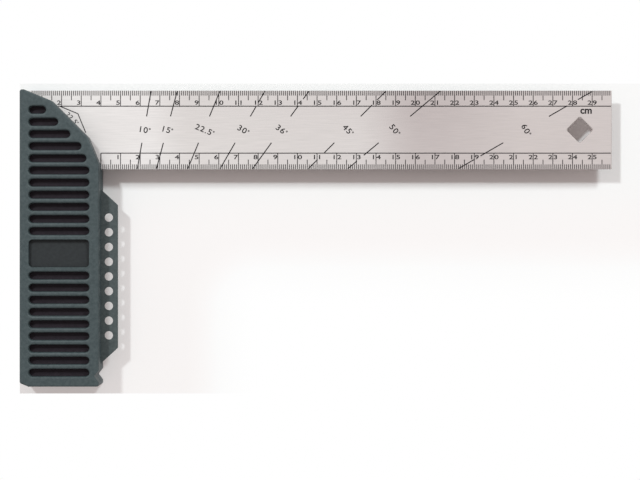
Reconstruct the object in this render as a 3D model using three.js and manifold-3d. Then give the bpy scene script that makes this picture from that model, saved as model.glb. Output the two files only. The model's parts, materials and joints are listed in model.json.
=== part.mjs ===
// A carpenter's try and mitre square with a retractable ledge, lying flat as on a bench.
// A long steel blade is clamped across the top of a thick stock. The stock is a black core between two moulded
// covers, whose rows of rounded grip slots show the core. Its top is cut to 22.5, 45 and 67.5 degrees. A flat
// ledge slides out of the stock's inner face and lies in the blade's plane, so that the square stays flat on a board.
// Units are millimetres. While modelling, x runs along the blade from the stock's outer face, y runs up from the
// stock's foot to the blade's outer edge at y = 0, and z runs up from the bench.
import * as THREE from "three";
import { mergeVertices } from "three/addons/utils/BufferGeometryUtils.js";
import Module from "manifold-3d";

const wasm = await Module();
wasm.setup();

// Blade
const bladeReach = 300; // from the stock's outer face to the blade's free end
const bladeWidth = 40;
const bladeThickness = 1.2;
const bladeEndChamfer = 0.35;
const hangHoleAcross = 9.6; // flat to flat of the diamond hole
const hangHoleCornerRadius = 1;
const hangHoleFromEnd = 16.3;
const hangHoleEase = 0.35; // broken edge round the hole

// Stock
const stockWidth = 40;
const stockLength = 150;
const stockThickness = 18;
const facetAngle = THREE.MathUtils.degToRad(22.5);
const facetLand = 2.2; // left square at the heel and above the blade's inner edge, where the facets start and end
const mitreSetback = 5.4; // from the meeting point of the steeper and flatter facets to the 45 degree facet
const heelRadius = 1.2;
const footRadius = 1.2;
const footCut = 4.4; // width of the small 22.5 degree cut at the foot's outer corner
const edgeRound = 0.9; // rounding round each cover's face
const coverWall = 2.4; // side wall of a cover
const coverFace = 3.2; // face of a cover, which the grip slots pierce
const partingGap = 0.2;
const fitGap = 0.15; // between the core and what it fits

// Notch in the inner face near the foot
const notchFromFoot = 5.3;
const notchMouth = 6.2;
const notchDepth = 2.4;
const notchRootRadius = 0.8;
const notchWall = 2.2;

// Grip slots and the bare label panel between them
const slotWidth = 3.8;
const ribWidth = 2.32;
const slotRound = 1.05; // rounding of a slot's outer edge, which leaves the ribs almost fully round
const slotsAboveLabel = 11;
const firstSlotEdge = 8.44; // from the blade's outer edge to the first slot
const slotOuterMargin = 4.6;
const slotInnerMargin = 4.9;
const slotFacetMargin = 4.6;
const slotFootMargin = 4.8; // least band left below the last slot
const labelHeight = 14;
const labelDepth = 2.4;

// Ledge
const ledgeReach = 8.6; // out of the inner face, and the travel that takes it back in
const ledgeFromBlade = 10.3; // from the ledge's root end to the blade's inner edge
const ledgeFromFoot = 11.2;
const ledgeChamfer = 7.9;
const ledgeThickness = bladeThickness; // so that its faces lie level with the blade's
const ledgeInside = 15; // what stays in the stock when the ledge is out
const ledgeTipRadius = 0.8;
const ledgeInnerChamfer = 1;
const ledgeHoleRadius = 2.15;
const ledgeHolePitch = 7.5;
const ledgeHoleMargin = 5; // least distance from the end holes to the cut corners
const ledgeHoleOut = 4; // hole centres from the inner face
const ledgeGap = 0.25; // running clearance round the ledge
const ledgeBackRoom = 0.5;

// Pins and springs that guide and hold the ledge
const pinRadius = 1.5;
const pinInset = 11.5; // from the inner face
const pinFromEnd = 9.5; // from each end of the ledge
const pinFloor = 1.2; // core left under a pin's blind end
const springLength = 15;
const springRise = 1.8;
const springThickness = 0.4;
const springHeight = 4;
const springInset = 13; // from the inner face to the spring's middle
const springGap = 0.3;

// Screws
const headRadius = 2.4;
const headHeight = 1.7;
const headDome = 0.5;
const headSink = 0.5; // from the back face to the head's top
const shankRadius = 1.25;
const shankTip = 1.4;
const crossLength = 2.6;
const crossWidth = 0.6;
const crossDepth = 0.9;
const screwGap = 0.25;
const padRadius = 4;
const tangScrewShares = [0.56, 0.87]; // of the blade's width, from its outer edge
const bossRadius = 2.8;
const bossGap = 0.3; // left under the ledge side of a boss
const screwEnd = 1.3; // core or cover left beyond a screw's tip

// How finely round things are cut, and how near two corners are to be the same one
const slotFacets = 12;
const roundFacets = 24;
const smallFacets = 16;
const cornerSteps = 4;
const roundSteps = 2;
const overrun = 1; // how far a cutter passes the face that it cuts
const sameCorner = 1e-4;

// Places worked out from the sizes above
const midZ = stockThickness / 2;
const coverInside = coverFace + fitGap;
const coreInset = coverWall + fitGap;
const slotPitch = slotWidth + ribWidth;
const slotEndRadius = slotWidth / 2;
const labelTop = firstSlotEdge + slotsAboveLabel * slotPitch;
const labelMiddleY = -(labelTop + labelHeight / 2);
const lowerSlotsTop = labelTop + labelHeight + ribWidth;
const slotsBelowLabel = Math.floor((stockLength - slotFootMargin + ribWidth - lowerSlotsTop) / slotPitch);
const ledgeTopY = -(bladeWidth + ledgeFromBlade);
const ledgeBottomY = ledgeFromFoot - stockLength;
const ledgeMiddleY = (ledgeTopY + ledgeBottomY) / 2;
const ledgeRootLength = ledgeTopY - ledgeBottomY;
const ledgeTipLength = ledgeRootLength - 2 * ledgeChamfer;
const ledgeHoleCount = Math.floor((ledgeTipLength - 2 * ledgeHoleMargin) / ledgeHolePitch) + 1;
const pinX = stockWidth - pinInset;
const pinClearance = pinRadius + ledgeGap;
const shankClearance = shankRadius + screwGap;

// Materials
const steel = new THREE.MeshStandardMaterial({ color: 0xcfc9c5, roughness: 0.32, metalness: 1 });
const coverPlastic = new THREE.MeshStandardMaterial({ color: 0x4a5859, roughness: 0.55, metalness: 0 });
const corePlastic = new THREE.MeshStandardMaterial({ color: 0x2a282a, roughness: 0.7, metalness: 0 });
const springSteel = new THREE.MeshStandardMaterial({ color: 0x8c8f94, roughness: 0.3, metalness: 1 });
const screwSteel = new THREE.MeshStandardMaterial({ color: 0xa9aaac, roughness: 0.35, metalness: 1 });

// Turns a closed three.js geometry into a solid that can be joined and cut.
function solidFrom(geometry) {
  const bare = geometry.index ? geometry.toNonIndexed() : geometry.clone();
  bare.deleteAttribute("normal");
  bare.deleteAttribute("uv");
  const merged = mergeVertices(bare, sameCorner);
  return new wasm.Manifold(
    new wasm.Mesh({
      numProp: 3,
      vertProperties: merged.attributes.position.array,
      triVerts: new Uint32Array(merged.index.array),
    }),
  );
}

// Turns a solid back into a named mesh.
function meshFrom(name, solid, material) {
  const made = solid.getMesh();
  const geometry = new THREE.BufferGeometry();
  geometry.setAttribute("position", new THREE.BufferAttribute(Float32Array.from(made.vertProperties), 3));
  geometry.setIndex(new THREE.BufferAttribute(Uint32Array.from(made.triVerts), 1));
  geometry.computeVertexNormals();
  const mesh = new THREE.Mesh(geometry, material);
  mesh.name = name;
  return mesh;
}

// A flat shape raised from one height to another.
function slab(shape, low, high, steps = cornerSteps) {
  const geometry = new THREE.ExtrudeGeometry(shape, {
    depth: high - low,
    bevelEnabled: false,
    curveSegments: steps,
  });
  return solidFrom(geometry.translate(0, 0, low));
}

function block(x0, x1, y0, y1, low, high) {
  const geometry = new THREE.BoxGeometry(x1 - x0, y1 - y0, high - low);
  return solidFrom(geometry.translate((x0 + x1) / 2, (y0 + y1) / 2, (low + high) / 2));
}

function rod(x, y, radius, low, high, facets = smallFacets) {
  const geometry = new THREE.CylinderGeometry(radius, radius, high - low, facets);
  return solidFrom(geometry.rotateX(Math.PI / 2).translate(x, y, (low + high) / 2));
}

function joined(solids) {
  return solids.reduce((whole, solid) => whole.add(solid));
}

// Moves each side of a convex outline inwards, and meets neighbouring sides again. A side that is too short to
// survive the move, such as the land at the heel, is left out and its neighbours meet in its place.
function insetOutline(points, inset) {
  const sides = points.map((point, i) => {
    const next = points[(i + 1) % points.length];
    const along = next.clone().sub(point).normalize();
    const inward = new THREE.Vector2(-along.y, along.x);
    return { start: point.clone().addScaledVector(inward, inset), along };
  });
  const corners = sides.map((side, i) => {
    const before = sides[(i + sides.length - 1) % sides.length];
    return meetingPoint(before, side);
  });
  const lasting = sides.filter((side, i) => {
    const end = corners[(i + 1) % corners.length];
    return end.clone().sub(corners[i]).dot(side.along) > 0;
  });
  return lasting.map((side, i) => {
    const before = lasting[(i + lasting.length - 1) % lasting.length];
    return meetingPoint(before, side);
  });
}

function meetingPoint(before, side) {
  const between = side.start.clone().sub(before.start);
  const reach = between.cross(side.along) / before.along.cross(side.along);
  return before.start.clone().addScaledVector(before.along, reach);
}

// A closed shape through corner points, each corner rounded by its own radius.
function roundedShape(points, radii) {
  const shape = new THREE.Shape();
  points.forEach((corner, i) => {
    const before = points[(i + points.length - 1) % points.length];
    const after = points[(i + 1) % points.length];
    const toBefore = before.clone().sub(corner).normalize();
    const toAfter = after.clone().sub(corner).normalize();
    const half = Math.acos(THREE.MathUtils.clamp(toBefore.dot(toAfter), -1, 1)) / 2;
    const radius = Array.isArray(radii) ? radii[i] : radii;
    const cut = radius / Math.tan(half);
    const start = corner.clone().addScaledVector(toBefore, cut);
    const end = corner.clone().addScaledVector(toAfter, cut);
    if (i === 0) shape.moveTo(start.x, start.y);
    else shape.lineTo(start.x, start.y);
    if (radius > 0) {
      const centre = corner
        .clone()
        .addScaledVector(toBefore.clone().add(toAfter).normalize(), radius / Math.sin(half));
      const from = start.clone().sub(centre).angle();
      const to = end.clone().sub(centre).angle();
      const clockwise = toBefore.cross(toAfter) > 0;
      shape.absarc(centre.x, centre.y, radius, from, to, clockwise);
    }
  });
  shape.closePath();
  return shape;
}

// The stock's outline seen from the front, anticlockwise from the foot's outer corner. The flatter facet starts a
// short land from the heel, and the steeper one ends the same land above the blade's inner edge. The 45 degree facet
// cuts the corner where those two would meet.
function stockOutline() {
  const slope = Math.tan(facetAngle);
  const steepEnd = bladeWidth - facetLand;
  const meetX = (stockWidth - (steepEnd + facetLand * slope) * slope) / (1 - slope * slope);
  const meet = new THREE.Vector2(meetX, (facetLand - meetX) * slope);
  const facetCut = mitreSetback / Math.sin(facetAngle);
  const flatWay = new THREE.Vector2(-Math.cos(facetAngle), Math.sin(facetAngle));
  const steepWay = new THREE.Vector2(Math.sin(facetAngle), -Math.cos(facetAngle));
  return [
    new THREE.Vector2(0, footCut * slope - stockLength),
    new THREE.Vector2(footCut, -stockLength),
    new THREE.Vector2(stockWidth, -stockLength),
    new THREE.Vector2(stockWidth, -steepEnd),
    meet.clone().addScaledVector(steepWay, facetCut),
    meet.clone().addScaledVector(flatWay, facetCut),
    new THREE.Vector2(facetLand, 0),
    new THREE.Vector2(0, 0),
  ];
}

const outline = stockOutline();
const outlineRadii = [footRadius, footRadius, footRadius, 0, 0, 0, 0, heelRadius];

// The notch as a round-bottomed V, with a wider form that keeps a wall round it.
function notchShape() {
  const middleY = notchFromFoot - stockLength;
  const flank = notchMouth / 2 / notchDepth;
  const out = overrun;
  const corners = [
    new THREE.Vector2(stockWidth + out, middleY + flank * (notchDepth + out)),
    new THREE.Vector2(stockWidth - notchDepth, middleY),
    new THREE.Vector2(stockWidth + out, middleY - flank * (notchDepth + out)),
  ];
  return roundedShape(corners, [0, notchRootRadius, 0]);
}

// Where each grip slot lies: its height on the stock, and how far it reaches before it comes too near a facet.
// Near the heel, a slot with no length left between the margins isn't cut.
function gripSlots() {
  const cosine = Math.cos(facetAngle);
  const sine = Math.sin(facetAngle);
  const keepOff = slotFacetMargin + slotEndRadius;
  const mitreSum = outline[5].x + outline[5].y;
  const slotAt = (y) => {
    const endBySide = stockWidth - slotInnerMargin - slotEndRadius;
    const endByMitre = mitreSum - y - keepOff * Math.SQRT2;
    const endBySteep = stockWidth - (keepOff + sine * (y + bladeWidth - facetLand)) / cosine;
    return {
      y,
      start: slotOuterMargin + slotEndRadius,
      end: Math.min(endBySide, endByMitre, endBySteep),
    };
  };
  const upper = Array.from({ length: slotsAboveLabel }, (_, i) =>
    slotAt(-(firstSlotEdge + slotEndRadius + i * slotPitch)),
  ).filter((slot) => slot.end > slot.start);
  const lower = Array.from({ length: slotsBelowLabel }, (_, i) =>
    slotAt(-(lowerSlotsTop + slotEndRadius + i * slotPitch)),
  );
  return { upper, lower };
}

const slots = gripSlots();
const allSlots = [...slots.upper, ...slots.lower];

// Half the section of a slot cutter: straight through the face, then flaring along a quarter round at the mouth.
function slotSection(halfWidth, floor, mouth) {
  const section = [new THREE.Vector2(halfWidth, floor)];
  for (let i = 0; i <= roundSteps; i++) {
    const turn = (i / roundSteps) * (Math.PI / 2);
    section.push(
      new THREE.Vector2(
        halfWidth + slotRound * (1 - Math.cos(turn)),
        mouth - slotRound + slotRound * Math.sin(turn),
      ),
    );
  }
  section.push(new THREE.Vector2(halfWidth + slotRound, mouth + overrun));
  return section;
}

// A slot cutter that stands on z: the section run straight along x, and turned round at both ends.
function slotCutter(slot, floor, mouth) {
  const half = slotSection(slotEndRadius, floor, mouth);
  const whole = new THREE.Shape([
    ...half,
    ...half.map((p) => new THREE.Vector2(-p.x, p.y)).reverse(),
  ]);
  const run = new THREE.ExtrudeGeometry(whole, { depth: slot.end - slot.start, bevelEnabled: false });
  run.rotateX(Math.PI / 2).rotateZ(Math.PI / 2).translate(slot.start, slot.y, 0);
  const turned = [
    new THREE.Vector2(0, floor),
    ...half,
    new THREE.Vector2(0, mouth + overrun),
  ];
  const ends = [slot.start, slot.end].map((x) => {
    const end = new THREE.LatheGeometry(turned, slotFacets);
    return solidFrom(end.rotateX(Math.PI / 2).translate(x, slot.y, 0));
  });
  return joined([solidFrom(run), ...ends]);
}

// The bare label panel: a shallow round-cornered recess between the two runs of slots, with the slots' own edge.
function labelCutter(mouth) {
  const left = slotOuterMargin;
  const right = stockWidth - slotInnerMargin;
  const corners = [
    new THREE.Vector2(left, -(labelTop + labelHeight)),
    new THREE.Vector2(right, -(labelTop + labelHeight)),
    new THREE.Vector2(right, -labelTop),
    new THREE.Vector2(left, -labelTop),
  ];
  return slab(roundedShape(corners, slotEndRadius), mouth - labelDepth, mouth + overrun);
}

// The whole stock's outer form, rounded round both faces, from which both covers are split.
function stockForm() {
  const geometry = new THREE.ExtrudeGeometry(roundedShape(outline, outlineRadii), {
    depth: stockThickness - 2 * edgeRound,
    bevelThickness: edgeRound,
    bevelSize: edgeRound,
    bevelOffset: -edgeRound,
    bevelSegments: roundSteps,
    curveSegments: cornerSteps,
  });
  const form = solidFrom(geometry.translate(0, 0, edgeRound));
  return form.subtract(slab(notchShape(), -overrun, stockThickness + overrun));
}

// What is hollow between the covers, less the pad that keeps a wall round the notch.
function stockHollow(inset, low, high, padExtra) {
  const hollow = slab(roundedShape(insetOutline(outline, inset), 0), low, high);
  const pad = rod(
    stockWidth,
    notchFromFoot - stockLength,
    notchDepth + notchWall + padExtra,
    low - overrun,
    high + overrun,
    roundFacets,
  );
  return hollow.subtract(pad);
}

// The room that the blade takes, open past its outer edge, and the room that the sliding ledge takes.
function bladeRoom() {
  const half = bladeThickness / 2 + fitGap;
  return block(
    coverWall,
    stockWidth + overrun,
    -(bladeWidth + fitGap),
    overrun,
    midZ - half,
    midZ + half,
  );
}

function ledgeRoom() {
  const half = ledgeThickness / 2 + ledgeGap;
  return block(
    stockWidth - ledgeInside - ledgeReach - ledgeBackRoom,
    stockWidth + overrun,
    ledgeBottomY - ledgeGap,
    ledgeTopY + ledgeGap,
    midZ - half,
    midZ + half,
  );
}

// Screws: two through the blade, two in the middle that reach the front cover, and one at the foot
const slotNearest = (y) =>
  slots.upper.reduce((best, slot) => (Math.abs(slot.y - y) < Math.abs(best.y - y) ? slot : best));
const tangSlots = tangScrewShares.map((share) => slotNearest(-share * bladeWidth));
const footSlot = slots.lower.at(-1);
const bladeScrewXs = [slotOuterMargin + padRadius + ribWidth, stockWidth - pinInset - ribWidth];
const coreScrews = [
  { name: "blade_screw_outer", x: bladeScrewXs[0], y: tangSlots[0].y },
  { name: "blade_screw_inner", x: bladeScrewXs[1], y: tangSlots[1].y },
  { name: "foot_screw", x: bladeScrewXs[0], y: footSlot.y },
];
const throughScrews = [
  { name: "middle_screw_outer", x: slotOuterMargin + padRadius, y: labelMiddleY },
  { name: "middle_screw_inner", x: pinX, y: labelMiddleY },
];
const headSeatZ = headSink + headHeight;
const coreTopZ = stockThickness - coverInside;
const coreScrewTipZ = coreTopZ - screwEnd;
const throughScrewTipZ = stockThickness - coverFace;

function screw(place, tipZ) {
  const profile = [
    new THREE.Vector2(0, headSink),
    new THREE.Vector2(headRadius - headDome, headSink),
    new THREE.Vector2(headRadius, headSink + headDome),
    new THREE.Vector2(headRadius, headSeatZ),
    new THREE.Vector2(shankRadius, headSeatZ),
    new THREE.Vector2(shankRadius, tipZ - shankTip),
    new THREE.Vector2(0, tipZ),
  ];
  const turned = new THREE.LatheGeometry(profile, smallFacets);
  const body = solidFrom(turned.rotateX(Math.PI / 2).translate(place.x, place.y, 0));
  const long = crossLength / 2;
  const thin = crossWidth / 2;
  const crossFloor = headSink + crossDepth;
  const cross = block(
    place.x - long, place.x + long, place.y - thin, place.y + thin, headSink - overrun, crossFloor,
  ).add(block(
    place.x - thin, place.x + thin, place.y - long, place.y + long, headSink - overrun, crossFloor,
  ));
  return body.subtract(cross);
}

// Blade: a flat strip with a diamond hole to hang it by, and a tang that the stock clamps, with holes for two screws.
// The tang and the free length are made apart and meet in the plane of the stock's inner face, so the inner edge that
// a user works against is a face of its own.
function makeBlade() {
  const half = bladeThickness / 2;
  const strip = new THREE.Shape([
    new THREE.Vector2(stockWidth, midZ - half),
    new THREE.Vector2(bladeReach - bladeEndChamfer, midZ - half),
    new THREE.Vector2(bladeReach, midZ - half + bladeEndChamfer),
    new THREE.Vector2(bladeReach, midZ + half - bladeEndChamfer),
    new THREE.Vector2(bladeReach - bladeEndChamfer, midZ + half),
    new THREE.Vector2(stockWidth, midZ + half),
  ]);
  const geometry = new THREE.ExtrudeGeometry(strip, { depth: bladeWidth, bevelEnabled: false });
  const freeLength = solidFrom(geometry.rotateX(Math.PI / 2));
  const tang = block(coverWall + fitGap, stockWidth, -bladeWidth, 0, midZ - half, midZ + half);
  const holes = coreScrews
    .slice(0, tangSlots.length)
    .map((place) => rod(place.x, place.y, shankClearance, midZ - overrun, midZ + overrun));
  return tang.add(freeLength).subtract(joined([hangHoleCutter(), ...holes]));
}

// The diamond cutter is a straight prism and two flared ones that break the hole's edges on both faces.
function hangHoleCutter() {
  const half = bladeThickness / 2;
  const diamond = (grow) => {
    const reach = (hangHoleAcross / 2 + grow) * Math.SQRT2;
    const corners = [
      new THREE.Vector2(0, -reach),
      new THREE.Vector2(reach, 0),
      new THREE.Vector2(0, reach),
      new THREE.Vector2(-reach, 0),
    ];
    return roundedShape(corners, hangHoleCornerRadius + grow);
  };
  const ease = new THREE.ExtrudeGeometry(diamond(0), {
    depth: 0,
    bevelThickness: hangHoleEase + overrun,
    bevelSize: hangHoleEase + overrun,
    bevelSegments: 1,
    curveSegments: cornerSteps,
  });
  const flare = (z) => solidFrom(ease.clone().translate(0, 0, z));
  const offset = half + overrun;
  return joined([slab(diamond(0), -offset, offset), flare(offset), flare(-offset)]).translate([
    bladeReach - hangHoleFromEnd,
    -bladeWidth / 2,
    midZ,
  ]);
}

// Core: the black body inside the covers. The blade's end lies in its upper slit and the ledge slides in its lower
// one. A pocket at each end of the ledge's slit holds a bowed spring.
function makeCore() {
  const solid = stockHollow(coreInset, coverInside, stockThickness - coverInside, fitGap);
  const screwHoles = coreScrews.map((place) =>
    rod(place.x, place.y, shankClearance, coverInside - overrun, coreScrewTipZ + screwGap),
  );
  const throughHoles = throughScrews.flatMap((place) => [
    rod(place.x, place.y, shankClearance, coverInside - overrun, midZ),
    rod(place.x, place.y, bossRadius + fitGap, midZ, coreTopZ + overrun),
  ]);
  const pinHoles = ledgePins.map((pin) =>
    rod(pin.x, pin.y, pinRadius + fitGap, coverInside - overrun, pin.top + fitGap),
  );
  const pockets = ledgeSprings.map((spring) => springPocket(spring));
  return solid.subtract(
    joined([bladeRoom(), ledgeRoom(), ...screwHoles, ...throughHoles, ...pinHoles, ...pockets]),
  );
}

// Ledge: a flat plate with cut corners, a row of round holes, and three slots that run on the pins and on a screw.
const ledgePins = [
  { name: "ledge_pin_upper", x: pinX, y: ledgeTopY - pinFromEnd },
  { name: "ledge_pin_lower", x: pinX, y: ledgeBottomY + pinFromEnd },
].map((pin) => ({ ...pin, bottom: coverInside, top: coreTopZ - pinFloor }));

function makeLedge() {
  const half = ledgeThickness / 2;
  const rootX = stockWidth;
  const tipX = stockWidth + ledgeReach;
  const backX = stockWidth - ledgeInside;
  const tip = ledgeTipLength / 2;
  const root = ledgeRootLength / 2;
  const outlinePoints = [
    [backX, ledgeInnerChamfer - root, 0],
    [backX + ledgeInnerChamfer, -root, 0],
    [rootX, -root, 0],
    [tipX, -tip, ledgeTipRadius],
    [tipX, tip, ledgeTipRadius],
    [rootX, root, 0],
    [backX + ledgeInnerChamfer, root, 0],
    [backX, root - ledgeInnerChamfer, 0],
  ];
  const corners = outlinePoints.map(([x, y]) => new THREE.Vector2(x, y + ledgeMiddleY));
  const shape = roundedShape(corners, outlinePoints.map(([, , radius]) => radius));
  const firstHoleY = ledgeMiddleY + ((ledgeHoleCount - 1) / 2) * ledgeHolePitch;
  for (let i = 0; i < ledgeHoleCount; i++) {
    const hole = new THREE.Path();
    const y = firstHoleY - i * ledgeHolePitch;
    hole.absarc(stockWidth + ledgeHoleOut, y, ledgeHoleRadius, 0, 2 * Math.PI, true);
    shape.holes.push(hole);
  }
  for (const y of [ledgePins[0].y, labelMiddleY, ledgePins[1].y]) {
    const slot = new THREE.Path();
    slot.absarc(pinX, y, pinClearance, Math.PI / 2, (3 * Math.PI) / 2, false);
    slot.absarc(pinX + ledgeReach, y, pinClearance, (3 * Math.PI) / 2, (5 * Math.PI) / 2, false);
    slot.closePath();
    shape.holes.push(slot);
  }
  return slab(shape, midZ - half, midZ + half, roundFacets / 2);
}

// The bowed leaf springs, one beyond each end of the ledge, with the crown towards the ledge.
const springBowRadius = (springLength * springLength) / (8 * springRise) + springRise / 2;
const ledgeSprings = [
  { name: "ledge_spring_upper", endY: ledgeTopY, away: 1 },
  { name: "ledge_spring_lower", endY: ledgeBottomY, away: -1 },
].map((spring) => ({ ...spring, x: stockWidth - springInset }));

function makeSpring(spring) {
  const sweep = Math.asin(springLength / 2 / springBowRadius);
  const crownY = springGap;
  const centreY = crownY + springBowRadius;
  const turn = -Math.PI / 2;
  const leaf = new THREE.Shape();
  leaf.absarc(0, centreY, springBowRadius, turn - sweep, turn + sweep, false);
  leaf.absarc(0, centreY, springBowRadius - springThickness, turn + sweep, turn - sweep, true);
  leaf.closePath();
  const solid = slab(leaf, midZ - springHeight / 2, midZ + springHeight / 2, smallFacets);
  const placed = spring.away > 0 ? solid : solid.rotate([0, 0, 180]);
  return placed.translate([spring.x, spring.endY, 0]);
}

function springPocket(spring) {
  const deep = ledgeGap + springGap * 2 + springRise + springThickness;
  const near = spring.endY;
  const far = spring.endY + spring.away * deep;
  return block(
    spring.x - springLength / 2 - springGap,
    spring.x + springLength / 2 + springGap,
    Math.min(near, far),
    Math.max(near, far),
    midZ - springHeight / 2 - springGap,
    midZ + springHeight / 2 + springGap,
  );
}

// Covers: the outer form split at the parting plane, hollowed for the core, with the grip slots through its face.
const form = stockForm();
const hollow = stockHollow(coverWall, coverFace, stockThickness - coverFace, 0);

function makeFrontCover() {
  const parting = midZ + partingGap / 2;
  const half = block(
    -overrun, stockWidth + overrun, -stockLength - overrun, overrun, parting, stockThickness + overrun,
  );
  const shell = form.intersect(half).subtract(joined([hollow, bladeRoom(), ledgeRoom()]));
  const cutters = allSlots.map((slot) =>
    slotCutter(slot, stockThickness - coverFace - overrun, stockThickness),
  );
  const bosses = throughScrews.map((place) =>
    rod(place.x, place.y, bossRadius, midZ + ledgeThickness / 2 + ledgeGap + bossGap,
      stockThickness - coverFace + overrun, roundFacets),
  );
  const pilots = throughScrews.map((place) =>
    rod(place.x, place.y, shankClearance, midZ, throughScrewTipZ + screwGap),
  );
  return shell.add(joined(bosses.map((boss) => boss.intersect(form))))
    .subtract(joined([...cutters, labelCutter(stockThickness), ...pilots]));
}

function makeBackCover() {
  const parting = midZ - partingGap / 2;
  const half = block(
    -overrun, stockWidth + overrun, -stockLength - overrun, overrun, -overrun, parting,
  );
  const shell = form.intersect(half).subtract(joined([hollow, bladeRoom(), ledgeRoom()]));
  const pads = joined(
    coreScrews.map((place) => rod(place.x, place.y, padRadius, -overrun, coverFace + overrun, roundFacets)),
  );
  const turnOver = (solid) => solid.mirror([0, 0, 1]).translate([0, 0, stockThickness]);
  const windows = joined(
    allSlots.map((slot) =>
      turnOver(slotCutter(slot, stockThickness - coverFace - overrun, stockThickness)),
    ),
  ).subtract(pads);
  const screwHoles = [...coreScrews, ...throughScrews].flatMap((place) => [
    rod(place.x, place.y, headRadius + screwGap, -overrun, headSeatZ + fitGap),
    rod(place.x, place.y, shankClearance, 0, coverFace + overrun),
  ]);
  return shell.subtract(windows).subtract(joined(screwHoles));
}

// The square, with its frame's origin on the bench under the middle of its bounding box.
const square = new THREE.Group();
square.add(
  meshFrom("blade", makeBlade(), steel),
  meshFrom("core", makeCore(), corePlastic),
  meshFrom("front_cover", makeFrontCover(), coverPlastic),
  meshFrom("back_cover", makeBackCover(), coverPlastic),
  meshFrom("ledge", makeLedge(), coverPlastic),
);
for (const pin of ledgePins) {
  square.add(meshFrom(pin.name, rod(pin.x, pin.y, pinRadius, pin.bottom, pin.top), springSteel));
}
for (const spring of ledgeSprings) square.add(meshFrom(spring.name, makeSpring(spring), springSteel));
for (const place of coreScrews) square.add(meshFrom(place.name, screw(place, coreScrewTipZ), screwSteel));
for (const place of throughScrews) {
  square.add(meshFrom(place.name, screw(place, throughScrewTipZ), screwSteel));
}
square.position.set(-bladeReach / 2, stockLength / 2, 0);

const model = new THREE.Group();
model.add(square);
export default model;
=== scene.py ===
# %% [markdown]
# A carpenter's try and mitre square, seen from straight above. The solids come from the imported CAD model,
# which is the fixed frame of this lesson. What is added here is the finish of each surface, softened
# edges and the printed scales. Everything is in metres: +X runs along the blade, +Y across it to its
# outer edge, and +Z up from the bench.

# %% Load the frame
import json
import math

import bmesh
import bpy
from mathutils import Matrix, Vector


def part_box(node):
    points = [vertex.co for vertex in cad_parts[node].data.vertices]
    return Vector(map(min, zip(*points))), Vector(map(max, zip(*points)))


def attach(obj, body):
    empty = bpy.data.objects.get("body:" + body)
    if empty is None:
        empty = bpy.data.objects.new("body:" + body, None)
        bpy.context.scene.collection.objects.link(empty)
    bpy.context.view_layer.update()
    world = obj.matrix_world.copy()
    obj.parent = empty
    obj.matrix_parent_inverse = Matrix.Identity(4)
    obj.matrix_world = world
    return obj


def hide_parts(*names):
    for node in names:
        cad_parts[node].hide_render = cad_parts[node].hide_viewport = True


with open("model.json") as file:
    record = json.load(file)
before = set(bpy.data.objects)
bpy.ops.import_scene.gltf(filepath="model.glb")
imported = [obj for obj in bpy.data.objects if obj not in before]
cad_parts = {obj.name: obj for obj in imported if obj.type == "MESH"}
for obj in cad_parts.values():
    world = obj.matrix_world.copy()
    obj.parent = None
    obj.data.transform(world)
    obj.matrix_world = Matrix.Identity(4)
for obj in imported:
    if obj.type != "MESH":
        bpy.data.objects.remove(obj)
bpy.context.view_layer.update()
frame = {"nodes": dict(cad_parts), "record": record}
MM = 0.001

# %% [markdown]
# The scales are measured from working faces, so those faces are read from the frame and not typed again.
# The upper scale counts from the stock's outer face, and the lower one from its inner face, where an
# inside corner begins. A place on the blade is then given as on a ruler, in millimetres along it and down
# from its outer edge.

# %% Read the working faces
blade_low, blade_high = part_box("blade")
cad_ledge_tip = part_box("ledge")[1].x
stock_low, stock_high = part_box("front_cover")
heel_x = stock_low.x
inner_face_x = stock_high.x
outer_edge_y = blade_high.y
blade_top = blade_high.z
blade_width = blade_high.y - blade_low.y
blade_reach = blade_high.x - heel_x
stock_width = inner_face_x - heel_x
print("blade reach and width in mm:", round(blade_reach / MM, 2), round(blade_width / MM, 2))


def on_blade(along, down):
    """A place on the blade in mm, along from the stock's outer face and down from the blade's outer edge."""
    return Vector((heel_x + along * MM, outer_edge_y - down * MM))


# %% [markdown]
# The photograph looks straight down through a long lens, so the stock's sides hardly show. The printed
# centimetres measure 19.65 pixels in the blade's plane, which ties the lens to the camera's height. The
# height was found from how much larger the stock's front face looks than the blade below it.

# %% Camera
IMAGE_WIDTH = 640
PIXELS_PER_METRE = 1965
CAMERA_HEIGHT = 0.85
CAMERA_AIM = Vector((0.0015, -0.001))
SENSOR = 36.0

lens_data = bpy.data.cameras.new("camera")
lens_data.sensor_width = SENSOR
lens_data.lens = SENSOR * (CAMERA_HEIGHT - blade_top) / (IMAGE_WIDTH / PIXELS_PER_METRE)
camera = bpy.data.objects.new("camera", lens_data)
camera.location = (CAMERA_AIM.x, CAMERA_AIM.y, CAMERA_HEIGHT)
bpy.context.scene.collection.objects.link(camera)
bpy.context.scene.camera = camera
bpy.context.scene.view_settings.view_transform = "Standard"
print("lens in mm:", round(lens_data.lens, 1))

# %% [markdown]
# Every material here is a small node tree. The first helper starts one with a Principled shader, and the
# second adds a noise pattern on Object coordinates, stretched by a Mapping node. Object coordinates stay
# on the piece when the camera moves, and they're in metres, so a scale of 1000 gives features of about a
# millimetre.


# %% Start a material and its noise
def new_material(name, color, roughness, metallic=0.0):
    material = bpy.data.materials.new(name)
    material.use_nodes = True
    shader = material.node_tree.nodes["Principled BSDF"]
    shader.inputs["Base Color"].default_value = (*color, 1)
    shader.inputs["Roughness"].default_value = roughness
    shader.inputs["Metallic"].default_value = metallic
    print("material:", name)
    return material, material.node_tree, shader


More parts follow.
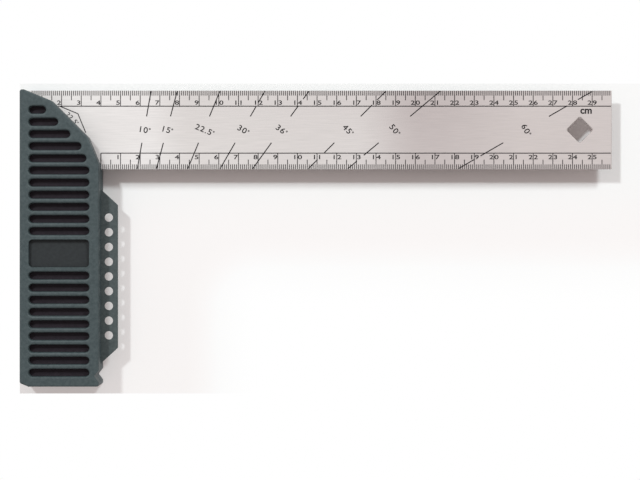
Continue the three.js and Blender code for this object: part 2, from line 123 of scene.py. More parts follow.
def add_noise(tree, stretch, detail=3.0, roughness=0.55):
    """A noise texture whose features per metre along X, Y and Z are the three numbers of stretch."""
    nodes, links = tree.nodes, tree.links
    place = nodes.new("ShaderNodeTexCoord")
    mapping = nodes.new("ShaderNodeMapping")
    mapping.inputs["Scale"].default_value = stretch
    noise = nodes.new("ShaderNodeTexNoise")
    noise.inputs["Scale"].default_value = 1.0
    noise.inputs["Detail"].default_value = detail
    noise.inputs["Roughness"].default_value = roughness
    links.new(place.outputs["Object"], mapping.inputs["Vector"])
    links.new(mapping.outputs["Vector"], noise.inputs["Vector"])
    return noise.outputs["Fac"]


# %% [markdown]
# A noise gives one number for each place. A colour ramp turns that number into a blend of two colours, a
# Map Range node turns it into a roughness, and a Bump node into a relief. A bump changes no shape and
# only bends the light, which is enough for textures as fine as these.


# %% Colour, roughness and relief from a noise
def blend_colors(tree, factor, low_color, high_color, low=0.3, high=0.7):
    """A colour ramp from low_color to high_color as the factor goes from low to high."""
    ramp = tree.nodes.new("ShaderNodeValToRGB")
    ramp.color_ramp.elements[0].position = low
    ramp.color_ramp.elements[0].color = (*low_color, 1)
    ramp.color_ramp.elements[1].position = high
    ramp.color_ramp.elements[1].color = (*high_color, 1)
    tree.links.new(factor, ramp.inputs["Fac"])
    return ramp.outputs["Color"]


def vary_roughness(tree, shader, factor, low, high):
    spread = tree.nodes.new("ShaderNodeMapRange")
    spread.inputs["To Min"].default_value = low
    spread.inputs["To Max"].default_value = high
    tree.links.new(factor, spread.inputs["Value"])
    tree.links.new(spread.outputs["Result"], shader.inputs["Roughness"])


def add_bump(tree, shader, factor, depth):
    bump = tree.nodes.new("ShaderNodeBump")
    bump.inputs["Distance"].default_value = depth
    bump.inputs["Strength"].default_value = 1.0
    tree.links.new(factor, bump.inputs["Height"])
    tree.links.new(bump.outputs["Normal"], shader.inputs["Normal"])


# %% [markdown]
# The blade is stainless strip. A painted reflection of the studio shifts its colour slowly from end to end:
# it is painted palest by the stock, and darkest and warmest past the middle. A colour ramp along X gives
# that painted shift. Its stops are given in shares of the blade's reach, so they keep their places on the
# blade if its length changes.

# %% Painted reflection along the blade
# Painted reflection: these stops paint the studio's reflection into the steel's colour, palest by the stock
# and darkest past the middle.
STEEL_TONES_WITH_PAINTED_REFLECTION = [
    (0.2, (0.68, 0.646, 0.636)),
    (0.29, (0.606, 0.567, 0.554)),
    (0.56, (0.591, 0.549, 0.537)),
    (0.68, (0.491, 0.436, 0.428)),
    (0.88, (0.548, 0.494, 0.482)),
]


def object_sides(tree):
    """The X, Y and Z outputs of the Object coordinates."""
    place = tree.nodes.new("ShaderNodeTexCoord")
    sides = tree.nodes.new("ShaderNodeSeparateXYZ")
    tree.links.new(place.outputs["Object"], sides.inputs["Vector"])
    return sides.outputs


# Paints the reflection's slow change along the blade into the base colour.
def tone_along_blade(tree):
    share = tree.nodes.new("ShaderNodeMapRange")
    share.inputs["From Min"].default_value = heel_x
    share.inputs["From Max"].default_value = heel_x + blade_reach
    ramp = tree.nodes.new("ShaderNodeValToRGB")
    ramp.color_ramp.interpolation = "EASE"
    stops = ramp.color_ramp.elements
    stops.remove(stops[1])
    stops[0].position = STEEL_TONES_WITH_PAINTED_REFLECTION[0][0]
    for position, _ in STEEL_TONES_WITH_PAINTED_REFLECTION[1:]:
        stops.new(position)
    for stop, (_, color) in zip(stops, STEEL_TONES_WITH_PAINTED_REFLECTION):
        stop.color = (*color, 1)
    tree.links.new(object_sides(tree)["X"], share.inputs["Value"])
    tree.links.new(share.outputs["Result"], ramp.inputs["Fac"])
    return ramp.outputs["Color"]


# %% [markdown]
# The strip is brushed along its length. Brushing is thousands of fine scratches that all run one way, so
# its noise is stretched far along X and packed tight along Y. A second, broad noise keeps the painted slow
# change of reflection from looking ruled. The steel is rough enough to spread the reflection of each light.
# On smoother steel it burns to plain white when the blade is seen from the side.

# %% Brushed stainless steel
WHITE = (1.0, 1.0, 1.0)
STEEL_COLOR = (0.6, 0.56, 0.54)
DRIFT_PER_METRE = (7, 30, 30)
DRIFT_SHADE = (0.94, 0.93, 0.93)
STREAKS_PER_METRE = (90, 2800, 2800)
STREAK_SHADE = (0.87, 0.87, 0.87)
STREAK_DEPTH = 0.002 * MM
STEEL_SMOOTHEST = 0.7
STEEL_ROUGHEST = 0.8


def multiply_colors(tree, first, second):
    mix = tree.nodes.new("ShaderNodeMix")
    mix.data_type = "RGBA"
    mix.blend_type = "MULTIPLY"
    mix.inputs["Factor"].default_value = 1.0
    tree.links.new(first, mix.inputs["A"])
    tree.links.new(second, mix.inputs["B"])
    return mix.outputs["Result"]


def brushed_steel():
    material, tree, shader = new_material("brushed_stainless", STEEL_COLOR, roughness=0.74, metallic=1.0)
    drift = add_noise(tree, DRIFT_PER_METRE, detail=1.0)
    streaks = add_noise(tree, STREAKS_PER_METRE, detail=4.0)
    drift_tone = blend_colors(tree, drift, DRIFT_SHADE, WHITE)
    streak_tone = blend_colors(tree, streaks, STREAK_SHADE, WHITE, low=0.28, high=0.72)
    brushing = multiply_colors(tree, drift_tone, streak_tone)
    # The painted reflection along the blade is multiplied into the brushed colour.
    brushed_tone_and_painted_reflection = multiply_colors(tree, tone_along_blade(tree), brushing)
    tree.links.new(brushed_tone_and_painted_reflection, shader.inputs["Base Color"])
    vary_roughness(tree, shader, streaks, STEEL_SMOOTHEST, STEEL_ROUGHEST)
    add_bump(tree, shader, streaks, STREAK_DEPTH)
    return material


steel = brushed_steel()

# %% [markdown]
# The two covers and the ledge are moulded in a dark green-grey plastic with a fine sparked texture, as
# hard-wearing grips have. A bump with features of about 0.4 mm gives the texture, and a second, larger
# noise lets the green and the grey drift a little, as they do on the real moulding. The core and the
# label panel are the same kind of plastic, nearly black and with less shine.

# %% Moulded plastics
MOULD_DRIFT_PER_METRE = (650, 650, 650)
MOULD_GRAIN_PER_METRE = (2600, 2600, 2600)
MOULD_GRAIN_DEPTH = 0.05 * MM
SMOOTHER_BY = 0.08
ROUGHER_BY = 0.1


def moulded_plastic(name, dark, light, roughness, shine=0.35):
    material, tree, shader = new_material(name, light, roughness)
    shader.inputs["Specular IOR Level"].default_value = shine
    drift = add_noise(tree, MOULD_DRIFT_PER_METRE, detail=4.0, roughness=0.65)
    grain = add_noise(tree, MOULD_GRAIN_PER_METRE, detail=2.0)
    tree.links.new(blend_colors(tree, drift, dark, light), shader.inputs["Base Color"])
    vary_roughness(tree, shader, grain, roughness - SMOOTHER_BY, roughness + ROUGHER_BY)
    add_bump(tree, shader, grain, MOULD_GRAIN_DEPTH)
    return material


cover_plastic = moulded_plastic("cover_plastic", (0.029, 0.044, 0.048), (0.06, 0.08, 0.084), 0.5)
ledge_plastic = moulded_plastic("ledge_plastic", (0.041, 0.054, 0.056), (0.075, 0.092, 0.094), 0.5)
core_plastic = moulded_plastic("core_plastic", (0.016, 0.012, 0.016), (0.026, 0.02, 0.026), 0.65, shine=0.12)
label_plastic = moulded_plastic("label_plastic", (0.02, 0.022, 0.024), (0.027, 0.031, 0.033), 0.6, shine=0.2)

# %% [markdown]
# The small steel parts sit inside the stock or deep in the back cover. The screws are zinc plated, which
# looks like pale steel with soft cloudy patches. The springs and pins are plain spring steel, darker and
# a little smoother, and the same cloudy noise serves for both.

# %% Screw and spring steel
CLOUDS_PER_METRE = (700, 700, 700)
CLOUD_SMOOTHER_BY = 0.06
CLOUD_ROUGHER_BY = 0.1


def cloudy_steel(name, dark, light, roughness):
    material, tree, shader = new_material(name, light, roughness, metallic=1.0)
    clouds = add_noise(tree, CLOUDS_PER_METRE)
    tree.links.new(blend_colors(tree, clouds, dark, light), shader.inputs["Base Color"])
    vary_roughness(tree, shader, clouds, roughness - CLOUD_SMOOTHER_BY, roughness + CLOUD_ROUGHER_BY)
    return material


screw_steel = cloudy_steel("zinc_plate", (0.38, 0.38, 0.4), (0.56, 0.56, 0.58), 0.32)
spring_steel = cloudy_steel("spring_steel", (0.24, 0.25, 0.27), (0.36, 0.37, 0.4), 0.28)

# %% [markdown]
# The scale is etched and filled with dark ink. Ink is matt and slightly uneven, so its colour drifts a
# little too. It reflects little, or the white room above would turn thin lines grey.

# %% Scale ink
INK_COLOR = (0.02, 0.016, 0.017)
INK_DARK = (0.008, 0.006, 0.007)
INK_LIGHT = (0.022, 0.018, 0.019)
INK_ROUGHNESS = 0.7
INK_SHINE = 0.2
PATCHES_PER_METRE = (1500, 1500, 1500)


def scale_ink():
    material, tree, shader = new_material("scale_ink", INK_COLOR, INK_ROUGHNESS)
    shader.inputs["Specular IOR Level"].default_value = INK_SHINE
    patches = add_noise(tree, PATCHES_PER_METRE, detail=2.0)
    tree.links.new(blend_colors(tree, patches, INK_DARK, INK_LIGHT), shader.inputs["Base Color"])
    return material


ink = scale_ink()

# %% [markdown]
# Each visible piece gets one material and rides on the body that carries it in the physics. Every piece
# needs the same few lines, so one helper holds them.


# %% Put a piece in the scene
def finish_mesh(name, mesh, material, body):
    piece = bpy.data.objects.new(name, mesh)
    bpy.context.scene.collection.objects.link(piece)
    mesh.materials.clear()
    mesh.materials.append(material)
    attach(piece, body)
    print(name, "faces:", len(mesh.polygons))
    return piece


# %% [markdown]
# A CAD solid has knife-sharp edges, and a real moulding or stamping never does. A thin highlight runs
# along a real edge. Each piece that shows is copied from its CAD node, its triangles are merged into
# whole faces, and a Bevel modifier rounds what is still sharp. Smooth shading would then bend the light
# across the large flat faces too, so a Weighted Normal modifier keeps those flat. The copy takes the
# node's place in the picture, and the node itself is kept, hidden, for the physics.

# %% Soften the CAD solids
WELD_DISTANCE = 0.001 * MM
FLAT_WITHIN = math.radians(0.5)
SHARP_FROM = math.radians(40)
EDGE_STEPS = 2
MOULDED_EDGE = 0.12 * MM
STEEL_EDGE = 0.05 * MM


def softened(node, material, body, width):
    mesh = frame["nodes"][node].data.copy()
    bm = bmesh.new()
    bm.from_mesh(mesh)
    bmesh.ops.remove_doubles(bm, verts=bm.verts, dist=WELD_DISTANCE)
    bmesh.ops.dissolve_limit(bm, angle_limit=FLAT_WITHIN, verts=bm.verts, edges=bm.edges)
    for face in bm.faces:
        face.smooth = True
    bm.to_mesh(mesh)
    bm.free()
    mesh.set_sharp_from_angle(angle=SHARP_FROM)
    piece = finish_mesh("soft_" + node, mesh, material, body)
    bevel = piece.modifiers.new("worn_edge", "BEVEL")
    bevel.width = width
    bevel.segments = EDGE_STEPS
    bevel.limit_method = "ANGLE"
    bevel.angle_limit = SHARP_FROM
    flat_faces = piece.modifiers.new("flat_faces", "WEIGHTED_NORMAL")
    flat_faces.keep_sharp = True
    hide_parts(node)


softened("front_cover", cover_plastic, "square", MOULDED_EDGE)
softened("back_cover", cover_plastic, "square", MOULDED_EDGE)
softened("ledge", ledge_plastic, "ledge", MOULDED_EDGE)
softened("blade", steel, "square", STEEL_EDGE)

# %% [markdown]
# The core, springs, pins and screws hardly show, so they keep their CAD solids and only their finish
# changes. The record names a slot for each node, and the slot picks the material.

# %% Finish the remaining CAD nodes
slot_materials = {
    "core_plastic": core_plastic,
    "spring_steel": spring_steel,
    "screw_steel": screw_steel,
}
for subpart in frame["record"]["subparts"]:
    material = slot_materials.get(subpart["material_slot"])
    if material:
        node = frame["nodes"][subpart["node"]]
        node.data.materials.clear()
        node.data.materials.append(material)
        print(subpart["node"], "is finished as", material.name)

# %% [markdown]
# Each printed line is a very thin bar of ink that stands a few hundredths of a millimetre out of the
# steel. A bar is a cube from bmesh, scaled and turned by one matrix. All bars of one kind go into one
# bmesh, which is then turned into a mesh and freed.

# %% Bars of ink
INK_HEIGHT = 0.03 * MM
INK_SINK = 0.01 * MM
INK_THICKNESS = INK_HEIGHT + INK_SINK
INK_MIDDLE = blade_top + (INK_HEIGHT - INK_SINK) / 2


def add_bar(bm, start, end, width):
    """Adds a bar from start to end, two places on the blade in mm, of that width in mm."""
    a = on_blade(*start)
    b = on_blade(*end)
    middle = (a + b) / 2
    along = b - a
    turn = Matrix.Rotation(math.atan2(along.y, along.x), 4, "Z")
    size = Matrix.Diagonal((along.length, width * MM, INK_THICKNESS, 1))
    place = Matrix.Translation((middle.x, middle.y, INK_MIDDLE))
    bmesh.ops.create_cube(bm, size=1, matrix=place @ turn @ size)


def new_mesh(name, bm):
    mesh = bpy.data.meshes.new(name)
    bm.to_mesh(mesh)
    bm.free()
    return mesh


def ink_piece(name, bm):
    finish_mesh(name, new_mesh(name, bm), ink, "square")


# %% [markdown]
# Both scales are millimetre ticks, longer ticks at each half centimetre and full lines at each
# centimetre. The upper one hangs from the blade's outer edge. The lower one stands on the inner edge and
# starts at the stock's inner face. One loop makes each scale, because every tick follows from its count.

# %% Scale ticks
WIDTH = blade_width / MM
REACH = blade_reach / MM
STOCK = stock_width / MM
CENTIMETRE = 10
HALF_CENTIMETRE = 5
UPPER_LINE = 7.9
LOWER_LINE = 31.8
TICK = 2.5
HALF_TICK = 4.9
TICK_LINE = 0.39
FIRST_SEEN_TICK = 5


def tick_length(count, full):
    if count % CENTIMETRE == 0:
        return full
    return HALF_TICK if count % HALF_CENTIMETRE == 0 else TICK


ticks = bmesh.new()
for count in range(FIRST_SEEN_TICK, int(REACH)):
    reach = tick_length(count, UPPER_LINE)
    add_bar(ticks, (count, 0), (count, reach), TICK_LINE)
for count in range(1, int(REACH - STOCK)):
    reach = tick_length(count, WIDTH - LOWER_LINE)
    add_bar(ticks, (STOCK + count, WIDTH), (STOCK + count, WIDTH - reach), TICK_LINE)
ink_piece("scale_ticks", ticks)

# %% [markdown]
# Two long lines close the scales off, and a short one stands at the lower scale's zero. The bent line by
# the stock has two parts. One is 22.5 degrees off the blade's outer edge and aims at the heel, and the
# other is as far off the stock's inner face and aims at its inner corner. The two meet in a corner that
# is worked out here, and the line ends just clear of the stock's own slope.

# %% Scale frames
FRAME_LINE = 0.47
FRAME_START = 17.6
FRAME_MARGIN = 0.4
FACET_ANGLE = 22.5
BENT_LINE_END = 32.3

frame_end = REACH - FRAME_MARGIN
facet_slope = math.tan(math.radians(FACET_ANGLE))
corner_along = (STOCK - WIDTH * facet_slope) / (1 - facet_slope**2)
bent_line = [
    (UPPER_LINE / facet_slope, UPPER_LINE),
    (corner_along, corner_along * facet_slope),
    (BENT_LINE_END, WIDTH - (STOCK - BENT_LINE_END) / facet_slope),
]

frames = bmesh.new()
add_bar(frames, (FRAME_START, UPPER_LINE), (frame_end, UPPER_LINE), FRAME_LINE)
add_bar(frames, (STOCK, LOWER_LINE), (frame_end, LOWER_LINE), FRAME_LINE)
add_bar(frames, (STOCK, LOWER_LINE), (STOCK, WIDTH), FRAME_LINE)
for start, end in zip(bent_line, bent_line[1:]):
    add_bar(frames, start, end, FRAME_LINE)
ink_piece("scale_frames", frames)

# %% [markdown]
# Each angle mark is a slanted line across the blade, broken in the middle for its label and again where
# it would run through a number. The list holds, for each angle, where its line meets the inner edge and
# where numbers break it, all in millimetres. The slope follows from the angle itself.

# %% Angle marks
MARK_LINE = 0.53
EDGE_INSET = MARK_LINE / 2
UPPER_PART_END = 13.1
LOWER_PART_START = 26.5
ANGLE_MARKS = [
    (10, 58.5, []),
    (15, 68.2, []),
    (22.5, 84.1, []),
    (30, 100.5, [(6.3, 8.2)]),
    (36, 117.0, [(4.3, 7.9)]),
    (45, 145.3, [(4.7, 7.3), (31.6, 35.1)]),
    (50, 165.3, [(32.9, 35.8)]),
    (60, 221.4, [(4.6, 7.7), (33.2, 34.9)]),
]


def stretches(gaps):
    """The stretches of an angle mark that are printed, from the blade's outer edge to its inner one."""
    cuts = sorted([*gaps, (UPPER_PART_END, LOWER_PART_START)])
    starts = [EDGE_INSET, *(end for _, end in cuts)]
    ends = [*(start for start, _ in cuts), WIDTH - EDGE_INSET]
    return list(zip(starts, ends))


def mark_along(angle, foot, down):
    return foot + (WIDTH - down) * math.tan(math.radians(angle))


marks = bmesh.new()
for angle, foot, gaps in ANGLE_MARKS:
    for top, bottom in stretches(gaps):
        start = (mark_along(angle, foot, top), top)
        end = (mark_along(angle, foot, bottom), bottom)
        add_bar(marks, start, end, MARK_LINE)
ink_piece("angle_marks", marks)

# %% [markdown]
# Numbers are text objects in Blender's own font, given a little thickness and turned into meshes. Printed
# figures have heavier strokes than the font. Blender's own offset would thicken them but also fills the
# eye of a 4, so the outline is moved outwards here, each corner along the mean normal of the walls that
# meet in it.

# %% Text as a mesh
WALL_LIMIT = 0.5
LEAN_LIMIT = 0.5
TEXT_HALF_THICKNESS = 0.5
TEXT_WELD = 0.0001


def embolden(bm, amount):
    moves = []
    for corner in bm.verts:
        walls = [face.normal for face in corner.link_faces if abs(face.normal.z) < WALL_LIMIT]
        outward = sum(walls, Vector()).normalized()
        lean = max(min(outward.dot(wall) for wall in walls), LEAN_LIMIT)
        moves.append((corner, outward * amount / lean))
    for corner, move in moves:
        corner.co += move


def text_mesh(words, spacing, bold=0.0):
    data = bpy.data.curves.new("words", "FONT")
    data.body = words
    data.space_character = spacing
    data.align_x = "CENTER"
    data.extrude = TEXT_HALF_THICKNESS
    maker = bpy.data.objects.new("words", data)
    bpy.context.scene.collection.objects.link(maker)
    bpy.context.view_layer.update()
    shaped = maker.evaluated_get(bpy.context.evaluated_depsgraph_get())
    mesh = bpy.data.meshes.new_from_object(shaped)
    bpy.data.objects.remove(maker)
    bpy.data.curves.remove(data)
    bm = bmesh.new()
    bm.from_mesh(mesh)
    bmesh.ops.remove_doubles(bm, verts=bm.verts, dist=TEXT_WELD)
    embolden(bm, bold)
    bm.to_mesh(mesh)
    bm.free()
    return mesh


# %% [markdown]
# The size of a font is not the height of its figures. So one figure is measured first, and each text is
# then scaled to the height that it needs, turned, and laid on the steel by one matrix.


# %% Text on the blade
def mesh_sides(mesh):
    xs = [v.co.x for v in mesh.vertices]
    ys = [v.co.y for v in mesh.vertices]
    return min(xs), max(xs), min(ys), max(ys)


figure = text_mesh("0", 1.0)
_, _, figure_low, figure_high = mesh_sides(figure)
figure_height = figure_high - figure_low
bpy.data.meshes.remove(figure)
print("height of a figure at font size 1:", round(figure_height, 3))


def add_text(bm, words, along, down, height, turn=0.0, spacing=1.0, stretch=1.0, bold=0.0):
    """Adds words of that height on a place of the blade, all in mm, turned clockwise by those degrees."""
    mesh = text_mesh(words, spacing, bold)
    left, right, low, high = mesh_sides(mesh)
    scale = height * MM / figure_height
    spot = on_blade(along, down)
    centre = Matrix.Translation((-(left + right) / 2, -(low + high) / 2, 0))
    size = Matrix.Diagonal((scale * stretch, scale, INK_THICKNESS, 1))
    turned = Matrix.Rotation(-math.radians(turn), 4, "Z")
    place = Matrix.Translation((spot.x, spot.y, INK_MIDDLE))
    mesh.transform(place @ turned @ size @ centre)
    bm.from_mesh(mesh)
    bpy.data.meshes.remove(mesh)


# %% [markdown]
# A one-figure number stands left of its centimetre line, and the line runs between the figures of a
# longer one. Both follow from one rule: the first figure is centred a little before the line and the
# second as far after it.

# %% Scale numbers
NUMBER_HEIGHT = 2.15
NUMBER_STRETCH = 1.45
NUMBER_BOLD = 0.016
UPPER_NUMBER_DOWN = 6.1
LOWER_NUMBER_DOWN = 33.8
FIGURE_SHIFT = 1.3
FIRST_UPPER_NUMBER = 2


def add_number(bm, number, line, down):
    for figure, side in zip(str(number), (-1, 1)):
        along = line + side * FIGURE_SHIFT
        add_text(bm, figure, along, down, NUMBER_HEIGHT, stretch=NUMBER_STRETCH, bold=NUMBER_BOLD)


numbers = bmesh.new()
for number in range(FIRST_UPPER_NUMBER, int(REACH / CENTIMETRE)):
    add_number(numbers, number, number * CENTIMETRE, UPPER_NUMBER_DOWN)
for number in range(1, int((REACH - STOCK) / CENTIMETRE)):
    add_number(numbers, number, STOCK + number * CENTIMETRE, LOWER_NUMBER_DOWN)
ink_piece("scale_numbers", numbers)

# %% [markdown]
# The printed degree sign is much smaller than the font's own. So it's a small flat ring, made by spinning
# a small section once around its centre. It stands after the figures and above their middle, and its
# sizes are shares of the height of the figures.

# %% Degree rings
DEGREE_RADIUS_SHARE = 0.16
DEGREE_BORE_SHARE = 0.06
DEGREE_GAP_SHARE = 0.14
DEGREE_RISE_SHARE = 0.3
RING_SIDES = 16


def add_ring(bm, centre, radius, bore):
    """Adds a flat ring of ink, with its centre in metres and its two radii in mm."""
    low, high = blade_top - INK_SINK, blade_top + INK_HEIGHT
    section = [(radius, low), (radius, high), (bore, high), (bore, low)]
    corners = [bm.verts.new((centre.x + reach * MM, centre.y, z)) for reach, z in section]
    edges = [bm.edges.new((corner, corners[i - 1])) for i, corner in enumerate(corners)]
    bmesh.ops.spin(
        bm, geom=corners + edges, cent=(centre.x, centre.y, low), axis=(0, 0, 1),
        angle=2 * math.pi, steps=RING_SIDES, use_merge=True,
    )


# %% [markdown]
# An angle is centred together with its ring. So the room that the ring takes is worked out first, and the
# figures move back by half of it. The ring then stands after them in the direction that the label is
# turned.

# %% An angle with its ring
LABEL_STRETCH = 1.12
LABEL_SPACING = 1.15
LABEL_BOLD = 0.012


def text_width(words, height, spacing, stretch, bold):
    mesh = text_mesh(words, spacing, bold)
    left, right, _, _ = mesh_sides(mesh)
    bpy.data.meshes.remove(mesh)
    return (right - left) * stretch * height / figure_height


def add_degrees(bm, angle, along, down, height, turn):
    """Adds an angle and its ring, centred on a place of the blade, all in mm, and turned clockwise."""
    words = f"{angle:g}"
    width = text_width(words, height, LABEL_SPACING, LABEL_STRETCH, LABEL_BOLD)
    radius = DEGREE_RADIUS_SHARE * height
    ring_room = DEGREE_GAP_SHARE * height + 2 * radius
    forward = Vector((math.cos(math.radians(turn)), math.sin(math.radians(turn))))
    upward = Vector((forward.y, -forward.x))
    middle = Vector((along, down))
    figures = middle - forward * ring_room / 2
    ring = middle + forward * ((width + ring_room) / 2 - radius) + upward * DEGREE_RISE_SHARE * height
    add_text(bm, words, *figures, height, turn, LABEL_SPACING, LABEL_STRETCH, LABEL_BOLD)
    add_ring(bm, on_blade(*ring), radius, DEGREE_BORE_SHARE * height)


# %% [markdown]
# The angle labels sit in the gaps of their marks and lean with them. One more label stands between the
# bent line and the stock, and the unit of the scales stands by the hang hole.

# %% Labels
LABEL_HEIGHT = 2.9
LABEL_DOWN = 20.0
LABEL_SHIFT = 0.5
FACET_LABEL_HEIGHT = 2.2
FACET_LABEL_PLACE = (25.5, 14.2)
FACET_LABEL_TURN = 45
UNIT_HEIGHT = 3.5
UNIT_PLACE = (286.9, 10.5)
UNIT_BOLD = 0.03

labels = bmesh.new()
for angle, foot, _ in ANGLE_MARKS:
    along = mark_along(angle, foot, LABEL_DOWN) + LABEL_SHIFT
    add_degrees(labels, angle, along, LABEL_DOWN, LABEL_HEIGHT, angle)
add_degrees(labels, FACET_ANGLE, *FACET_LABEL_PLACE, FACET_LABEL_HEIGHT, FACET_LABEL_TURN)
add_text(labels, "cm", *UNIT_PLACE, UNIT_HEIGHT, bold=UNIT_BOLD)
bmesh.ops.recalc_face_normals(labels, faces=labels.faces)
ink_piece("angle_labels", labels)

# %% [markdown]
# The photograph is lit from two sides. One light stands up and left and one up and right, so the blade
# throws two shadows that overlap below it. Where each shadow lies gives its light's direction. How dark a
# single shadow is, next to the overlap of both, gives the lights' shares: about equal, with a third of
# the light left to the pale room. The left light is the smaller one, so its shadow has the crisper edge.
# Both stand some two metres up, because nearer lights would fade along the blade.

# %% Lights
LIGHT_COLOR = (0.92, 0.995, 1.0)


def softbox(name, place, size, power):
    """A square area light at that place, turned towards the middle of the square."""
    data = bpy.data.lights.new(name, "AREA")
    data.color = LIGHT_COLOR
    data.shape = "SQUARE"
    data.size = size
    data.energy = power
    light = bpy.data.objects.new(name, data)
    light.location = place
    light.rotation_mode = "QUATERNION"
    light.rotation_quaternion = Vector(place).to_track_quat("Z", "Y")
    bpy.context.scene.collection.objects.link(light)
    print(name, "distance in metres:", round(Vector(place).length, 2))


softbox("upper_left_light", place=(-1.35, 1.57, 2.25), size=0.22, power=41)
softbox("upper_right_light", place=(1.47, 2.02, 2.16), size=0.54, power=54)

# %% [markdown]
# The photograph's background is white, but that much light from all around would wash the shadows out. So
# the rays that only look at the background, from the camera, a reflection or a clear material, are told
# apart from the rays that light the object. A Light Path node says which kind a ray is, and Math nodes
# combine its answers.


# %% Tell the rays apart
def combine(tree, operation, first, second):
    node = tree.nodes.new("ShaderNodeMath")
    node.operation = operation
    tree.links.new(first, node.inputs[0])
    tree.links.new(second, node.inputs[1])
    return node.outputs["Value"]


def seen_directly(tree):
    """1 for rays from the camera, a reflection or a clear material, and 0 for rays that light the object."""
    path = tree.nodes.new("ShaderNodeLightPath")
    seen = combine(tree, "MAXIMUM", path.outputs["Is Camera Ray"], path.outputs["Is Glossy Ray"])
    return combine(tree, "MAXIMUM", seen, path.outputs["Is Transmission Ray"])


# %% [markdown]
# The world is plain white for the rays that look at it directly. For all others it is a warm grey, and
# that tints the shadows as in the photograph. A Mix Shader node picks one of the two backgrounds by the
# kind of ray.

# %% World
AMBIENT_COLOR = (1.0, 0.86, 0.83)
AMBIENT_STRENGTH = 0.395


def mix_shaders(tree, factor, first, second):
    """The first shader where the factor is 0, and the second where it is 1."""
    blend = tree.nodes.new("ShaderNodeMixShader")
    tree.links.new(factor, blend.inputs["Fac"])
    tree.links.new(first, blend.inputs[1])
    tree.links.new(second, blend.inputs[2])
    return blend.outputs["Shader"]


def background(tree, color, strength):
    node = tree.nodes.new("ShaderNodeBackground")
    node.inputs["Color"].default_value = (*color, 1)
    node.inputs["Strength"].default_value = strength
    return node.outputs["Background"]


world = bpy.data.worlds.new("studio")
world.use_nodes = True
world.node_tree.nodes.clear()
ambient = background(world.node_tree, AMBIENT_COLOR, AMBIENT_STRENGTH)
white_room = background(world.node_tree, WHITE, 1.0)
shown = mix_shaders(world.node_tree, seen_directly(world.node_tree), ambient, white_room)
world_output = world.node_tree.nodes.new("ShaderNodeOutputWorld")
world.node_tree.links.new(shown, world_output.inputs["Surface"])
bpy.context.scene.world = world
print("strength of the room's light:", AMBIENT_STRENGTH)

# %% [markdown]
# The floor is a near-white sheet. The photograph was cut away along the stock's outer face, just below
# its foot and just above the blade, so the sheet ends there too. From above its left edge is hidden by
# the stock. A grid of one face is enough, because the sheet is flat.

# %% Floor sheet
FLOOR_REACH = 1.5
FLOOR_DROP = 0.1 * MM
FLOOR_PAST_HEEL = 3 * MM
FLOOR_BELOW_FOOT = 5 * MM
FLOOR_ABOVE_BLADE = 4.5 * MM


def floor_sheet():
    left, right = heel_x - FLOOR_PAST_HEEL, heel_x + FLOOR_REACH
    bottom, top = stock_low.y - FLOOR_BELOW_FOOT, outer_edge_y + FLOOR_ABOVE_BLADE
    middle = Matrix.Translation(((left + right) / 2, (bottom + top) / 2, -FLOOR_DROP))
    size = Matrix.Diagonal((right - left, top - bottom, 1, 1))
    bm = bmesh.new()
    bmesh.ops.create_grid(bm, x_segments=1, y_segments=1, size=0.5, matrix=middle @ size)
    return new_mesh("floor", bm)


floor = bpy.data.objects.new("floor", floor_sheet())
bpy.context.scene.collection.objects.link(floor)
print("floor in mm:", [round(side / MM) for side in floor.dimensions])

# %% [markdown]
# Below the blade the floor fades nearly a third of the way to a warm white, a painted glow that makes the
# floor and the shadows on it paler and warmer there, and far from the tool it fades fully to white. Two
# smooth ramps along X and Y give the far fade and one along Y the painted glow.

# %% Floor fade and painted glow
FADE_START = 12 * MM
FADE_LENGTH = 60 * MM
PAINTED_GLOW_LENGTH = 34 * MM
# Painted light: below the blade this share of a warm glow paints the floor and its shadows paler.
PAINTED_GLOW_SHARE = 0.3


def fade_along(tree, position, start, end, share=1.0):
    """0 up to start and that share from end on, along one of the outputs of a Separate XYZ node."""
    fade = tree.nodes.new("ShaderNodeMapRange")
    fade.interpolation_type = "SMOOTHSTEP"
    fade.inputs["From Min"].default_value = start
    fade.inputs["From Max"].default_value = end
    fade.inputs["To Max"].default_value = share
    tree.links.new(position, fade.inputs["Value"])
    return fade.outputs["Result"]


def floor_fade(tree):
    sides = object_sides(tree)
    start_x = cad_ledge_tip + FADE_START
    start_y = blade_low.y - FADE_START
    painted_glow_end = blade_low.y - PAINTED_GLOW_LENGTH
    right = fade_along(tree, sides["X"], start_x, start_x + FADE_LENGTH)
    down = fade_along(tree, sides["Y"], start_y, start_y - FADE_LENGTH)
    # The painted glow that lightens the floor's shadows below the blade.
    painted_glow = fade_along(tree, sides["Y"], blade_low.y, painted_glow_end, PAINTED_GLOW_SHARE)
    return combine(tree, "MAXIMUM", combine(tree, "MULTIPLY", right, down), painted_glow)


# %% [markdown]
# The sheet itself is pale and very rough, so it mirrors nothing. Where it fades, an even glow takes its
# place by the share that the fade gives; below the blade that glow is painted light over the floor's
# shadows. Only the camera, reflections and clear materials see that glow, so it adds no light to the tool's
# matt surfaces.

# %% Floor finish
FLOOR_COLOR = (0.94, 0.94, 0.94)
FLOOR_ROUGHNESS = 0.95
# Warm colour of the painted glow over the floor's shadows below the blade.
PAINTED_GLOW_COLOR = (1.0, 0.92, 0.91)
PLAIN_WHITE_SHARE = 0.7


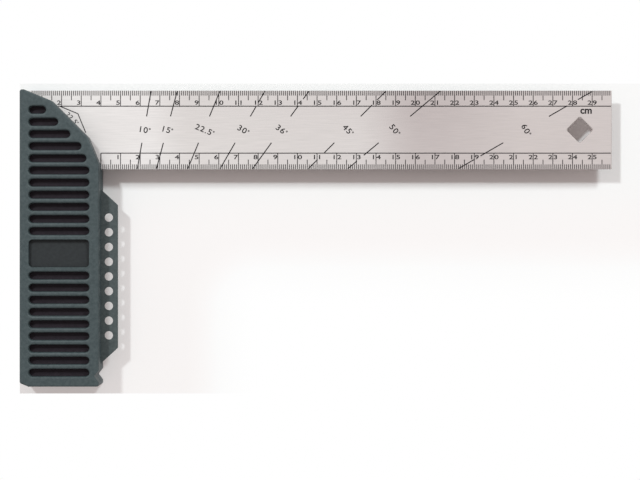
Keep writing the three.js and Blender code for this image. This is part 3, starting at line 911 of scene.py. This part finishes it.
def floor_finish():
    material, tree, shader = new_material("pale_floor", FLOOR_COLOR, FLOOR_ROUGHNESS)
    fade = floor_fade(tree)
    backdrop_and_painted_glow_color = blend_colors(tree, fade, PAINTED_GLOW_COLOR, WHITE, PAINTED_GLOW_SHARE, PLAIN_WHITE_SHARE)
    pale = tree.nodes.new("ShaderNodeEmission")
    pale.inputs["Strength"].default_value = 1.0
    tree.links.new(backdrop_and_painted_glow_color, pale.inputs["Color"])
    faded = combine(tree, "MULTIPLY", fade, seen_directly(tree))
    shown = mix_shaders(tree, faded, shader.outputs["BSDF"], pale.outputs["Emission"])
    tree.links.new(shown, tree.nodes["Material Output"].inputs["Surface"])
    return material


floor.data.materials.append(floor_finish())

# %% [markdown]
# The label panel between the two runs of grip slots is bare, dark and nearly matt. It's a thin plate with
# round corners that lies on the floor of the recess that the CAD cover has for it. It starts as a cube,
# scaled to a plate, and a bevel of its four upright edges rounds the corners. The plate follows the
# recess, less a little play.

# %% Label panel
RECESS_OUTER_MARGIN = 4.6 * MM
RECESS_INNER_MARGIN = 4.9 * MM
RECESS_FROM_HEEL = 75.76 * MM
RECESS_HEIGHT = 14 * MM
RECESS_DEPTH = 2.4 * MM
RECESS_CORNER_RADIUS = 1.9 * MM
PANEL_THICKNESS = 0.2 * MM
PANEL_PLAY = 0.15 * MM
PANEL_CORNER_STEPS = 8


def is_upright(edge):
    return abs(edge.verts[0].co.z - edge.verts[1].co.z) > PANEL_THICKNESS / 2


def label_panel():
    left = heel_x + RECESS_OUTER_MARGIN + PANEL_PLAY
    right = inner_face_x - RECESS_INNER_MARGIN - PANEL_PLAY
    top = outer_edge_y - RECESS_FROM_HEEL - PANEL_PLAY
    bottom = outer_edge_y - RECESS_FROM_HEEL - RECESS_HEIGHT + PANEL_PLAY
    recess_floor = stock_high.z - RECESS_DEPTH
    middle = ((left + right) / 2, (bottom + top) / 2, recess_floor + PANEL_THICKNESS / 2)
    size = Matrix.Diagonal((right - left, top - bottom, PANEL_THICKNESS, 1))
    bm = bmesh.new()
    bmesh.ops.create_cube(bm, size=1, matrix=Matrix.Translation(middle) @ size)
    bmesh.ops.bevel(
        bm, geom=[edge for edge in bm.edges if is_upright(edge)], offset=RECESS_CORNER_RADIUS - PANEL_PLAY,
        segments=PANEL_CORNER_STEPS, profile=0.5, affect="EDGES", material=-1,
    )
    finish_mesh("label_panel", new_mesh("label_panel", bm), label_plastic, "square")


label_panel()
